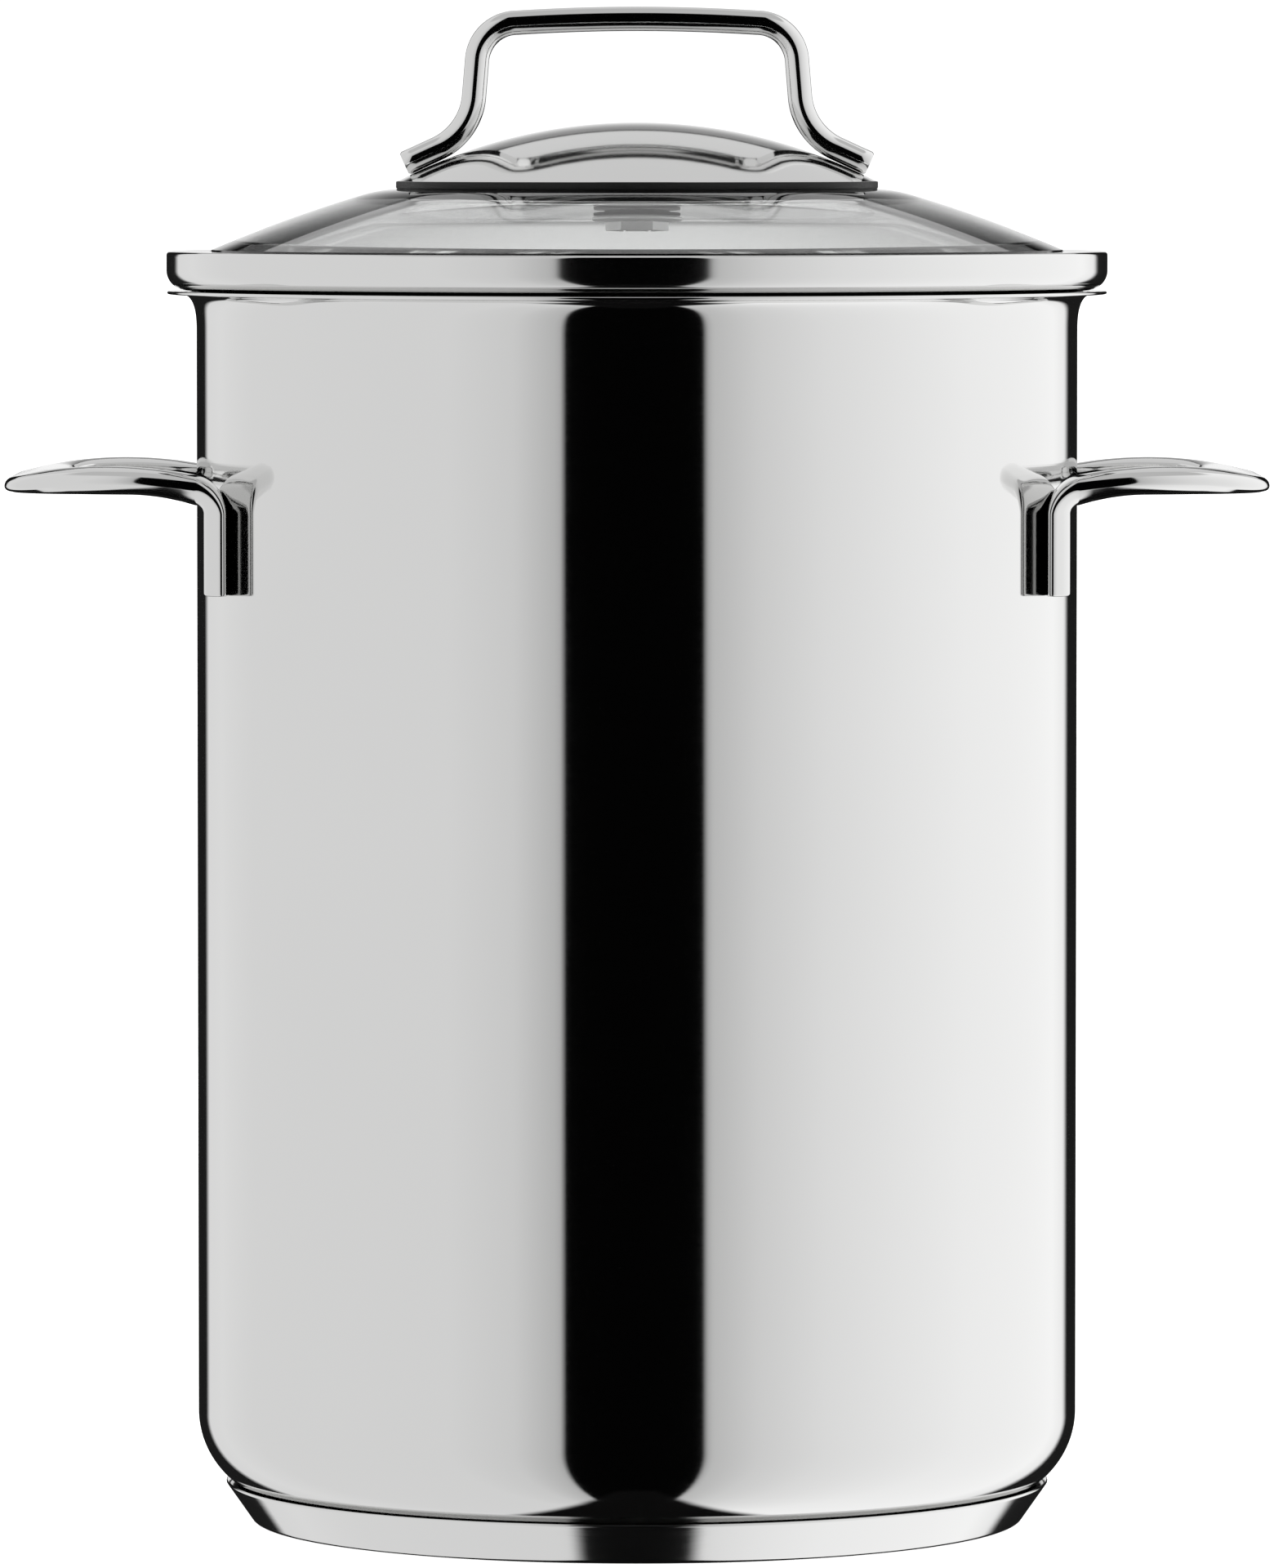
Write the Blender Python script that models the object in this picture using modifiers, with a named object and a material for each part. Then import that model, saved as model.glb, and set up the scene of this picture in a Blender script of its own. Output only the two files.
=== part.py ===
"""Tall water bath canner: steel pot on a capsule base, domed glass lid, lift-out wire jar basket.

Lengths are in millimetres until a mesh is made. The origin is the centre of the base's underside,
+Z is up, the two side handles point along -X and +X, and the lid handle's bar runs along X.
"""
import math

import bmesh
import bpy
from mathutils import Matrix, Vector

MM = 0.001
GAP = 0.3                       # left between pieces that touch
ROUND_STEPS = 48                # faces round the large turned pieces
SMALL_STEPS = 20                # and round the small ones
HOOP_STEPS = 36                 # straight runs in a hoop

# Pot
SHEET = 0.8
POT_RADIUS = 80.8               # outside of the wall, 160 mm inside
POT_FLOOR_Z = 4.5               # underside of the drawn floor
POT_CORNER = 16.0               # outside radius between floor and wall
RIM_RADIUS = 86.2               # tip of the pouring rim
RIM_Z = 226.4
RIM_LIP = 1.5                   # flat part of the rim beyond its flare
FLARE = RIM_RADIUS - RIM_LIP - POT_RADIUS

# Capsule base
CAPSULE_FOOT_RADIUS = 69.5
CAPSULE_FOOT_BEND = 1.4
CAPSULE_LEDGE_RADIUS = 75.9
CAPSULE_LEDGE_Z = 7.2
CORE_FOOT_RADIUS = 69.3
CORE_RADIUS = 72.8

# Side handles
HANDLE_REACH = 115.3            # from the pot's axis to the outer end
HANDLE_HALF_WIDTH = 38.5
HANDLE_BAR = 11.5               # width of the bar, seen from above
HANDLE_BOW_START = 85.0         # where the arms begin to bow inwards
HANDLE_BOW = 40.0               # radius of that bow, on the outside
HANDLE_CORNER = 18.0
HANDLE_INNER_CORNER = 9.0
HANDLE_CREST = (96.0, 195.0)
HANDLE_TIP_ARCH = 75.0          # radius of the top beyond the crest
HANDLE_ROOT_ARCH = 85.0         # and between the crest and the pot
HANDLE_UNDERSIDE_Z = 189.9
HANDLE_SAG_START = 92.0         # towards the pot the underside falls away from here
HANDLE_SAG = 0.013              # in mm per mm squared
HANDLE_BEND = (82.5, 9.0)       # start and radius of the outside of the bend down to the legs
LEG_OUTSIDE_X = 78.4
LEG_FOOT_Z = 171.6
LEG_FILLET = 1.5

# Lid rim band
BAND_RADIUS = 86.3
BAND_INNER_RADIUS = 78.4
BAND_TOP_Z = 233.6
BAND_BOTTOM_Z = RIM_Z + GAP
BAND_SHEET = 0.6
SKIRT_RADIUS = 79.4
SKIRT_FOOT_Z = 219.5

# Lid glass: flat in the middle, then a rounded knee, then the dome's slope
GLASS_THICKNESS = 4.0
GLASS_HOLE_RADIUS = 6.0
GLASS_FLAT_RADIUS = 43.0
GLASS_FLAT_Z = 245.0
GLASS_KNEE_RADIUS = 50.5
GLASS_SLOPE = 0.30              # just outside the knee
GLASS_DOME_CURVE = 0.00225      # in mm per mm squared
GLASS_DOME_RADIUS = 76.0
GLASS_FLANGE_RADIUS = 84.7
GLASS_FLANGE_Z = BAND_TOP_Z - BAND_SHEET - GAP

# Lid cap and its fixing
CAP_RADIUS = 44.2
CAP_APEX_Z = 257.15
CAP_ROUND = 95.0                # radius of the cap's dome
CAP_SHEET = 0.5
STUD_RADIUS = 3.0
STUD_FOOT_Z = 237.3
PAD_RADIUS = 8.0
PAD_THICKNESS = 0.5
WASHER_RADIUS = 8.3
WASHER_THICKNESS = 0.6
NUT_CORNER = 5.8
NUT_HEIGHT = 1.5

# Lid handle, a bent flat bar
BAR_THICKNESS = 4.4
BAR_DEPTH = 12.0
BAR_TOP_Z = 278.3
BAR_DROOP = 0.7                 # the bar's ends lie this much below its middle
BAR_POST_X = 29.3
BAR_POST_SPREAD = 0.5           # the posts lean out by this much
BAR_FOOT_X = 42.6
BAR_REST_X = 40.0               # where a foot touches down on the cap
BAR_CORNER = 7.3
BAR_FLARE = 11.7
BAR_FOOT_SLOPE = 0.46

# Basket
WIRE = 1.5                      # wire radius
WIRE_STEP = 2 * WIRE + GAP      # centre distance of two touching wires
UPRIGHT_RADIUS = 68.0
UPRIGHT_COUNT = 12
UPRIGHT_FOOT_Z = 6.3
BASE_RING_Z = 20.0
MIDDLE_HOOP_Z = 106.0
TOP_HOOP_Z = 190.0
GRID_OFFSETS = (-48.0, -24.0, 0.0, 24.0, 48.0)
GRID_REACH = 65.6
EYE_RADIUS = 3.4
EYE_WIRE = 1.1
EYE_Z = TOP_HOOP_Z + WIRE + GAP + EYE_RADIUS + EYE_WIRE
BAIL_RADIUS = 66.0
BAIL_BEND = 6.0
BAIL_END_X = 77.0


def arc(centre_x, centre_z, radius, start, end, count):
    """Points on a circular arc, angles in degrees from +X towards the second axis."""
    points = []
    for index in range(count + 1):
        angle = math.radians(start + (end - start) * index / count)
        points.append((centre_x + radius * math.cos(angle), centre_z + radius * math.sin(angle)))
    return points


def spread(start, end, count):
    return [start + (end - start) * index / count for index in range(count + 1)]


# ---------------------------------------------------------------- Blender helpers

def make_material(name, colour, metallic, roughness, alpha=1.0):
    material = bpy.data.materials.new(name)
    material.use_nodes = True
    shader = material.node_tree.nodes["Principled BSDF"]
    shader.inputs["Base Color"].default_value = (*colour, 1.0)
    shader.inputs["Metallic"].default_value = metallic
    shader.inputs["Roughness"].default_value = roughness
    shader.inputs["Alpha"].default_value = alpha
    return material


def make_collection(name):
    collection = bpy.data.collections.new(name)
    bpy.context.scene.collection.children.link(collection)
    return collection


def add_object(name, data, collection, material=None):
    obj = bpy.data.objects.new(name, data)
    collection.objects.link(obj)
    if material:
        data.materials.append(material)
    return obj


def turned(name, profile, material, closed=False, steps=ROUND_STEPS):
    """Turn an outline of (radius, height) points round the Z axis.

    The outline runs down the outer side of the piece.
    """
    mesh = bpy.data.meshes.new(name)
    vertices = [(radius * MM, 0.0, height * MM) for radius, height in profile]
    edges = [(index, index + 1) for index in range(len(profile) - 1)]
    if closed:
        edges.append((len(profile) - 1, 0))
    mesh.from_pydata(vertices, edges, [])
    obj = add_object(name, mesh, parts, material)
    screw = obj.modifiers.new("Screw", "SCREW")
    screw.steps = steps
    screw.render_steps = steps
    screw.use_merge_vertices = True
    screw.merge_threshold = 0.00001
    screw.use_smooth_shade = True
    return obj


def wire(name, points, radius, material, cyclic=False):
    """A round wire along (x, y, z) points."""
    curve = bpy.data.curves.new(name, "CURVE")
    curve.dimensions = "3D"
    curve.bevel_depth = radius * MM
    curve.bevel_resolution = 2
    curve.use_fill_caps = not cyclic
    spline = curve.splines.new("POLY")
    spline.points.add(len(points) - 1)
    for point, place in zip(spline.points, points):
        point.co = (*(Vector(place) * MM), 1.0)
    spline.use_cyclic_u = cyclic
    spline.use_smooth = True
    return add_object(name, curve, parts, material)


def bake_mesh(obj, name):
    """The object's evaluated shape as one welded mesh."""
    evaluated = obj.evaluated_get(bpy.context.evaluated_depsgraph_get())
    mesh = bpy.data.meshes.new_from_object(evaluated)
    mesh.name = name
    shape = bmesh.new()
    shape.from_mesh(mesh)
    bmesh.ops.remove_doubles(shape, verts=shape.verts, dist=0.00001)
    bmesh.ops.recalc_face_normals(shape, faces=shape.faces)
    shape.to_mesh(mesh)
    shape.free()
    return mesh


def prism(name, outline, thickness, placement, collection, material=None):
    """A flat outline given thickness, made a closed mesh at its placement."""
    curve = bpy.data.curves.new(name + "_outline", "CURVE")
    curve.dimensions = "2D"
    curve.fill_mode = "BOTH"
    curve.extrude = thickness * MM / 2
    spline = curve.splines.new("POLY")
    spline.points.add(len(outline) - 1)
    for point, (x, y) in zip(spline.points, outline):
        point.co = (x * MM, y * MM, 0.0, 1.0)
    spline.use_cyclic_u = True
    flat = add_object(name + "_outline", curve, collection)
    solid = add_object(name, bake_mesh(flat, name), collection, material)
    solid.matrix_world = placement
    bpy.data.objects.remove(flat)
    return solid


def cut(obj, cutter, operation):
    modifier = obj.modifiers.new(operation.title(), "BOOLEAN")
    modifier.operation = operation
    modifier.solver = "EXACT"
    modifier.object = cutter


def make_cutter(obj):
    """Move an object out of the model and show it as a guide only."""
    for collection in list(obj.users_collection):
        collection.objects.unlink(obj)
    cutters.objects.link(obj)
    obj.hide_render = True
    obj.display_type = "WIRE"
    return obj


def soften(obj, width, segments):
    bevel = obj.modifiers.new("Bevel", "BEVEL")
    bevel.width = width * MM
    bevel.segments = segments
    bevel.limit_method = "ANGLE"
    bevel.angle_limit = math.radians(40)
    obj.data.shade_smooth()
    obj.data.set_sharp_from_angle(angle=math.radians(40))


# ---------------------------------------------------------------- Pot

def make_pot_shell():
    """One drawn sheet: flat floor, rounded corner, straight wall and flared pouring rim."""
    corner = (POT_RADIUS - POT_CORNER, POT_FLOOR_Z + POT_CORNER)
    flare = (RIM_RADIUS - RIM_LIP, RIM_Z - SHEET - FLARE)
    profile = [(0.0, POT_FLOOR_Z + SHEET)]
    profile += arc(*corner, POT_CORNER - SHEET, -90, 0, 5)
    profile += arc(*flare, FLARE + SHEET, 180, 90, 4)
    profile += [(RIM_RADIUS, RIM_Z), (RIM_RADIUS, RIM_Z - SHEET)]
    profile += arc(*flare, FLARE, 90, 180, 4)
    profile += arc(*corner, POT_CORNER, 0, -90, 6)
    profile += [(0.0, POT_FLOOR_Z)]
    turned("pot_shell", profile, polished_steel)


def make_base():
    """An aluminium core disc pressed between the pot's floor and a steel capsule."""
    corner = (POT_RADIUS - POT_CORNER, POT_FLOOR_Z + POT_CORNER)
    reach = math.degrees(math.asin((CORE_RADIUS - corner[0]) / (POT_CORNER + GAP)))
    core = [(0.0, POT_FLOOR_Z - GAP)]
    core += arc(*corner, POT_CORNER + GAP, -90, reach - 90, 4)
    core += [(CORE_FOOT_RADIUS, SHEET + GAP), (0.0, SHEET + GAP)]
    turned("base_core_disc", core, aluminium)

    capsule = [(0.0, SHEET), (CAPSULE_FOOT_RADIUS + 0.1, SHEET)]
    capsule += [(CAPSULE_LEDGE_RADIUS - SHEET, CAPSULE_LEDGE_Z), (CAPSULE_LEDGE_RADIUS, CAPSULE_LEDGE_Z)]
    capsule += arc(CAPSULE_FOOT_RADIUS, CAPSULE_FOOT_BEND, CAPSULE_FOOT_BEND, -25, -90, 3)
    capsule += [(0.0, 0.0)]
    turned("base_capsule", capsule, polished_steel)


def bowed_side(half_width, reach, bow, corner):
    """One half of a U seen from above: an arm that bows inwards, and a rounded outer corner."""
    bow_y = half_width - bow
    corner_x = reach - corner
    turn = math.asin((corner_x - HANDLE_BOW_START) / (bow - corner))
    corner_y = bow_y + (bow - corner) * math.cos(turn)
    meet = 90 - math.degrees(turn)
    side = [(HANDLE_BEND[0] - HANDLE_BEND[1] - 4.0, half_width)]
    side += arc(HANDLE_BOW_START, bow_y, bow, 90, meet, 5)
    side += arc(corner_x, corner_y, corner, meet, 0, 5)[1:]
    return side


def handle_plan():
    """Plan of a side handle: a U of nearly even width, open towards the pot."""
    outer = bowed_side(HANDLE_HALF_WIDTH, HANDLE_REACH, HANDLE_BOW, HANDLE_CORNER)
    inner = bowed_side(HANDLE_HALF_WIDTH - HANDLE_BAR, HANDLE_REACH - HANDLE_BAR,
                       HANDLE_BOW - HANDLE_BAR, HANDLE_INNER_CORNER)
    plan = outer + [(x, -y) for x, y in reversed(outer)]
    return plan + [(x, -y) for x, y in inner] + inner[::-1]


def handle_side():
    """Side outline of a handle, as (x, z): an arched arm that turns down into a straight leg."""
    crest_x, crest_z = HANDLE_CREST
    bend_x, bend = HANDLE_BEND
    tip_x = HANDLE_REACH + 2.0
    top = [(x, crest_z - (x - crest_x) ** 2 / (2 * HANDLE_TIP_ARCH)) for x in spread(tip_x, crest_x, 5)]
    top += [(x, crest_z - (x - crest_x) ** 2 / (2 * HANDLE_ROOT_ARCH)) for x in spread(crest_x - 4.5, bend_x, 2)]
    bend_z = top[-1][1] - bend
    back = arc(bend_x, bend_z, bend, 90, 180, 6)[1:] + [(bend_x - bend, LEG_FOOT_Z), (LEG_OUTSIDE_X, LEG_FOOT_Z)]
    sag = []
    for x in spread(LEG_OUTSIDE_X + LEG_FILLET, HANDLE_SAG_START, 4):
        sag.append((x, HANDLE_UNDERSIDE_Z - HANDLE_SAG * (HANDLE_SAG_START - x) ** 2))
    fillet = arc(LEG_OUTSIDE_X + LEG_FILLET, sag[0][1] - LEG_FILLET, LEG_FILLET, 180, 90, 3)[:-1]
    return top + back + fillet + sag + [(tip_x, HANDLE_UNDERSIDE_Z)]


def make_side_handles():
    """Two forged handles: a bowed, arched loop whose arms turn down into legs on the wall."""
    upright = Matrix.Rotation(math.radians(90), 4, "X")
    middle_z = HANDLE_CREST[1] * MM
    arched = make_cutter(prism("handle_arch", handle_side(), 80.0, upright, cutters))
    wall = [(0.0, RIM_Z), (POT_RADIUS + GAP, RIM_Z), (POT_RADIUS + GAP, 0.0), (0.0, 0.0)]
    wall_core = make_cutter(turned("wall_core", wall, polished_steel))

    plan_place = Matrix.Translation((0.0, 0.0, middle_z))
    handle = make_cutter(prism("handle_plan", handle_plan(), 80.0, plan_place, cutters))
    cut(handle, arched, "INTERSECT")
    cut(handle, wall_core, "DIFFERENCE")
    mesh = bake_mesh(handle, "side_handle")
    mesh.transform(plan_place)
    mesh.materials.clear()
    add_object("side_handle_right", mesh, parts, polished_steel)
    left = add_object("side_handle_left", mesh, parts)
    left.rotation_euler.z = math.pi
    mesh.shade_smooth()
    mesh.set_sharp_from_angle(angle=math.radians(40))


# ---------------------------------------------------------------- Lid

def glass_top(radius):
    """Height of the glass's upper face: flat under the cap, then a shallow dome."""
    knee = GLASS_KNEE_RADIUS - GLASS_FLAT_RADIUS
    bent = min(max(radius - GLASS_FLAT_RADIUS, 0.0), knee)
    beyond = max(radius - GLASS_KNEE_RADIUS, 0.0)
    return GLASS_FLAT_Z - GLASS_SLOPE * (bent ** 2 / (2 * knee) + beyond) - GLASS_DOME_CURVE * beyond ** 2


def cap_top(radius):
    """Height of the steel cap's upper face."""
    return CAP_APEX_Z - CAP_ROUND + math.sqrt(CAP_ROUND ** 2 - radius ** 2)


def make_lid_glass():
    outer = [(r, glass_top(r)) for r in (GLASS_HOLE_RADIUS, GLASS_FLAT_RADIUS, 47.0, 50.5, 58.0, 67.0)]
    outer += [(GLASS_DOME_RADIUS, glass_top(GLASS_DOME_RADIUS))]
    outer += arc(GLASS_DOME_RADIUS + 2.2, GLASS_FLANGE_Z + 1.1, 1.1, 215, 270, 2)
    outer += [(GLASS_FLANGE_RADIUS, GLASS_FLANGE_Z), (GLASS_FLANGE_RADIUS, GLASS_FLANGE_Z - GLASS_THICKNESS)]
    inner = [(r, glass_top(r) - GLASS_THICKNESS) for r in (71.0, 62.0, 52.0, 46.0, 41.0)]
    inner += [(GLASS_HOLE_RADIUS, glass_top(0.0) - GLASS_THICKNESS)]
    shoulder = [(GLASS_DOME_RADIUS + 0.6, GLASS_FLANGE_Z - GLASS_THICKNESS), (74.4, 230.1)]
    turned("lid_glass", outer + shoulder + inner, clear_glass, closed=True)


def make_lid_band():
    """A rolled steel rim: flat top, straight side curling in to a locating skirt, and its seal."""
    bend = 1.0
    curl = 3.6
    curl_z = BAND_BOTTOM_Z + curl
    outside = [(BAND_INNER_RADIUS, BAND_TOP_Z)]
    outside += arc(BAND_RADIUS - bend, BAND_TOP_Z - bend, bend, 90, 0, 3)
    outside += arc(BAND_RADIUS - curl, curl_z, curl, 0, -65, 4)
    outside += [(BAND_RADIUS - curl, BAND_BOTTOM_Z), (SKIRT_RADIUS, BAND_BOTTOM_Z), (SKIRT_RADIUS, SKIRT_FOOT_Z)]
    skirt_inside = SKIRT_RADIUS - BAND_SHEET
    floor_z = BAND_BOTTOM_Z + BAND_SHEET
    inside = [(skirt_inside, SKIRT_FOOT_Z), (skirt_inside, floor_z), (BAND_RADIUS - curl, floor_z)]
    inside += arc(BAND_RADIUS - curl, curl_z, curl - BAND_SHEET, -60, 0, 3)
    inside += [(BAND_RADIUS - BAND_SHEET, BAND_TOP_Z - BAND_SHEET), (BAND_INNER_RADIUS, BAND_TOP_Z - BAND_SHEET)]
    turned("lid_rim_band", outside + inside, polished_steel, closed=True)

    seal_top = GLASS_FLANGE_Z - GLASS_THICKNESS - GAP
    seal_bottom = floor_z + GAP
    seal = [(80.4, seal_top), (83.6, seal_top), (83.6, seal_bottom), (80.4, seal_bottom)]
    turned("lid_rim_seal", seal, black_silicone, closed=True)


def make_lid_cap():
    """The polished steel cap over the glass, its black gasket, and the stud fixing below."""
    top = [(r, cap_top(r)) for r in (0.0, 5.0, 12.0, 20.0, 29.0, 37.0, CAP_RADIUS)]
    under = [(r, cap_top(r) - CAP_SHEET) for r in (CAP_RADIUS, 37.0, 29.0, 20.0, 12.0, 5.0, 0.0)]
    turned("lid_cap", top + under, polished_steel)

    gasket_inner = CAP_RADIUS - 2.9
    gasket_outer = CAP_RADIUS - 0.2
    gasket = [(r, cap_top(r) - CAP_SHEET - GAP) for r in (gasket_inner, gasket_outer)]
    gasket += [(r, glass_top(r) + GAP) for r in (gasket_outer, gasket_inner)]
    turned("lid_cap_gasket", gasket, black_silicone, closed=True)

    collar = 7.0
    collar_z = glass_top(0.0) + 1.6
    stud = [(0.0, cap_top(2.0) - CAP_SHEET - GAP), (2.0, cap_top(2.0) - CAP_SHEET - GAP)]
    stud += [(collar, cap_top(collar) - CAP_SHEET - GAP), (collar, collar_z), (STUD_RADIUS, collar_z)]
    stud += [(STUD_RADIUS, STUD_FOOT_Z), (0.0, STUD_FOOT_Z)]
    turned("lid_stud", stud, polished_steel, steps=SMALL_STEPS)

    bore = STUD_RADIUS + GAP
    sleeve = GLASS_HOLE_RADIUS - GAP
    glass_z = glass_top(0.0)
    under_z = glass_z - GLASS_THICKNESS
    grommet = [(bore, collar_z - GAP), (9.0, collar_z - GAP), (9.0, glass_z + GAP), (sleeve, glass_z + GAP)]
    grommet += [(sleeve, under_z), (bore, under_z)]
    turned("lid_grommet", grommet, black_silicone, closed=True, steps=SMALL_STEPS)

    pad_z = under_z - GAP
    pad_foot = pad_z - PAD_THICKNESS
    pad = [(bore, pad_z), (PAD_RADIUS, pad_z), (PAD_RADIUS, pad_foot), (bore, pad_foot)]
    turned("lid_inner_gasket", pad, black_silicone, closed=True, steps=SMALL_STEPS)
    washer_z = pad_foot - GAP
    washer_foot = washer_z - WASHER_THICKNESS
    washer = [(bore, washer_z), (WASHER_RADIUS, washer_z), (WASHER_RADIUS, washer_foot), (bore, washer_foot)]
    turned("lid_inner_washer", washer, polished_steel, closed=True, steps=SMALL_STEPS)
    make_lid_nut(washer_foot - GAP)


def make_lid_nut(top_z):
    hexagon = arc(0, 0, NUT_CORNER, 0, 300, 5)
    place = Matrix.Translation((0.0, 0.0, (top_z - NUT_HEIGHT / 2) * MM))
    nut = prism("lid_nut", hexagon, NUT_HEIGHT, place, parts, polished_steel)
    bore = STUD_RADIUS + GAP
    drill = [(0.0, top_z + 5), (bore, top_z + 5), (bore, top_z - 10), (0.0, top_z - 10)]
    cut(nut, make_cutter(turned("nut_bore", drill, polished_steel, steps=SMALL_STEPS)), "DIFFERENCE")


def bar_path():
    """Centre line of the lid handle's right half, from the middle of the bar down to the foot."""
    half = BAR_THICKNESS / 2
    turn = 90 - math.degrees(math.atan(BAR_FOOT_SLOPE))
    rest_z = cap_top(BAR_REST_X) + GAP + half * math.hypot(1, BAR_FOOT_SLOPE)
    foot_z = rest_z - (BAR_FOOT_X - BAR_REST_X) * BAR_FOOT_SLOPE
    flare_x = BAR_POST_X + BAR_POST_SPREAD + BAR_FLARE
    flare_end_x = flare_x - BAR_FLARE * math.cos(math.radians(turn))
    flare_z = foot_z + (BAR_FOOT_X - flare_end_x) * BAR_FOOT_SLOPE + BAR_FLARE * math.sin(math.radians(turn))
    bar_z = BAR_TOP_Z - half
    corner_x = BAR_POST_X - BAR_CORNER
    path = [(x, bar_z - BAR_DROOP * (x / corner_x) ** 2) for x in (0.0, 0.5 * corner_x)]
    path += arc(corner_x, bar_z - BAR_DROOP - BAR_CORNER, BAR_CORNER, 90, 0, 6)
    path += arc(flare_x, flare_z, BAR_FLARE, 180, 180 + turn, 6)
    path += [(BAR_FOOT_X, foot_z)]
    return path


def make_lid_handle():
    right = bar_path()
    path = [(-x, z) for x, z in reversed(right[1:])] + right
    half = BAR_THICKNESS / 2
    upper = []
    lower = []
    for index, (x, z) in enumerate(path):
        before = path[max(index - 1, 0)]
        after = path[min(index + 1, len(path) - 1)]
        along = Vector((after[0] - before[0], after[1] - before[1])).normalized()
        upper.append((x - along.y * half, z + along.x * half))
        lower.append((x + along.y * half, z - along.x * half))
    upright = Matrix.Rotation(math.radians(90), 4, "X")
    handle = prism("lid_handle", upper + lower[::-1], BAR_DEPTH, upright, parts, polished_steel)
    soften(handle, 1.3, segments=1)


# ---------------------------------------------------------------- Basket

def hoop(name, radius, height):
    ring = [(x, y, height) for x, y in arc(0, 0, radius, 0, 360, HOOP_STEPS)[:-1]]
    wire(name, ring, WIRE, bright_wire, cyclic=True)


def make_basket():
    """A welded wire basket: hoops, uprights that reach below as feet, and a crossed grid."""
    outer_hoop = UPRIGHT_RADIUS + WIRE_STEP
    hoop("basket_top_hoop", outer_hoop, TOP_HOOP_Z)
    hoop("basket_middle_hoop", outer_hoop, MIDDLE_HOOP_Z)
    hoop("basket_base_ring", UPRIGHT_RADIUS - WIRE_STEP, BASE_RING_Z)
    for index in range(UPRIGHT_COUNT):
        angle = 2 * math.pi * (index + 0.5) / UPRIGHT_COUNT
        x = UPRIGHT_RADIUS * math.cos(angle)
        y = UPRIGHT_RADIUS * math.sin(angle)
        ends = [(x, y, TOP_HOOP_Z + WIRE), (x, y, UPRIGHT_FOOT_Z)]
        wire(f"basket_upright_{index + 1:02d}", ends, WIRE, bright_wire)
    lower_z = BASE_RING_Z + WIRE_STEP
    upper_z = lower_z + WIRE_STEP
    for index, offset in enumerate(GRID_OFFSETS):
        reach = math.sqrt(GRID_REACH ** 2 - offset ** 2)
        lower = [(-reach, offset, lower_z), (reach, offset, lower_z)]
        upper = [(offset, -reach, upper_z), (offset, reach, upper_z)]
        wire(f"basket_grid_lower_{index + 1}", lower, WIRE, bright_wire)
        wire(f"basket_grid_upper_{index + 1}", upper, WIRE, bright_wire)
    for side, sign in (("left", -1), ("right", 1)):
        ring = [(sign * outer_hoop, y, z) for y, z in arc(0, EYE_Z, EYE_RADIUS, 0, 360, 10)[:-1]]
        wire(f"basket_eye_{side}", ring, EYE_WIRE, bright_wire, cyclic=True)


def make_bail():
    """The wire handle that lifts the basket, hinged in the two eyes and lying flat at rest."""
    bend_start = BAIL_RADIUS - 1.0
    lead_angle = 12
    right = [(BAIL_END_X, 0.0), (bend_start + BAIL_BEND, 0.0)]
    right += arc(bend_start + BAIL_BEND, BAIL_BEND, BAIL_BEND, -90, -165, 4)[1:]
    sweep = arc(0.0, 0.0, BAIL_RADIUS, lead_angle, 90, 9)
    right += sweep
    left = [(-x, y) for x, y in reversed(right[:-1])]
    origin = Vector((0.0, 0.0, EYE_Z))
    bail = wire("basket_bail", [(x, y, 0.0) for x, y in right + left], WIRE, bright_wire)
    bail.location = origin * MM


# ---------------------------------------------------------------- Build

for old in list(bpy.data.objects):
    bpy.data.objects.remove(old)

parts = make_collection("water_bath_canner")
cutters = make_collection("cutters")
polished_steel = make_material("polished_steel", (0.62, 0.62, 0.61), 1.0, 0.14)
aluminium = make_material("aluminium", (0.75, 0.76, 0.77), 1.0, 0.35)
bright_wire = make_material("bright_wire", (0.66, 0.66, 0.66), 1.0, 0.22)
clear_glass = make_material("clear_glass", (0.86, 0.93, 0.90), 0.0, 0.03, alpha=0.35)
black_silicone = make_material("black_silicone", (0.02, 0.02, 0.02), 0.0, 0.55)

make_pot_shell()
make_base()
make_side_handles()
make_lid_glass()
make_lid_band()
make_lid_cap()
make_lid_handle()
make_basket()
make_bail()
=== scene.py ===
"""Looks of the water bath canner: polished steel pot, glass lid, loop handles and wire basket.

Lengths are in millimetres until a mesh is made. Places come from the boxes of the CAD nodes.
"""
import math

import bmesh
import bpy
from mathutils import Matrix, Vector


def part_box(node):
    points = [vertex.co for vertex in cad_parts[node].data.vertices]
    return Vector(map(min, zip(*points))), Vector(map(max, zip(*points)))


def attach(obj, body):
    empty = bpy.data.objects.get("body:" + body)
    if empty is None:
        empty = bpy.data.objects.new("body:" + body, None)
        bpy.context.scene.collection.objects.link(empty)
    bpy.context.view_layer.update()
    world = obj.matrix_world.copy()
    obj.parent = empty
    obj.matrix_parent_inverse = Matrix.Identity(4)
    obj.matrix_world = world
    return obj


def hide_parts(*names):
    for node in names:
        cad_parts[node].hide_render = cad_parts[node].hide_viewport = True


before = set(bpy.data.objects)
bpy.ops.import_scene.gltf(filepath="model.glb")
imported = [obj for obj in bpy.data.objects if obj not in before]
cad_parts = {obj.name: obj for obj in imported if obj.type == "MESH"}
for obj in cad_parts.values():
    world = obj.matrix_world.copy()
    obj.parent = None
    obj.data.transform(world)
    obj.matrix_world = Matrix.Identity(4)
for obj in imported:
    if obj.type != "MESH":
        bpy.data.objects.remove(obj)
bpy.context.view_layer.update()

MM = 0.001


def low(node):
    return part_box(node)[0] / MM


def high(node):
    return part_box(node)[1] / MM


# ---------------------------------------------------------------- Dimensions

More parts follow.
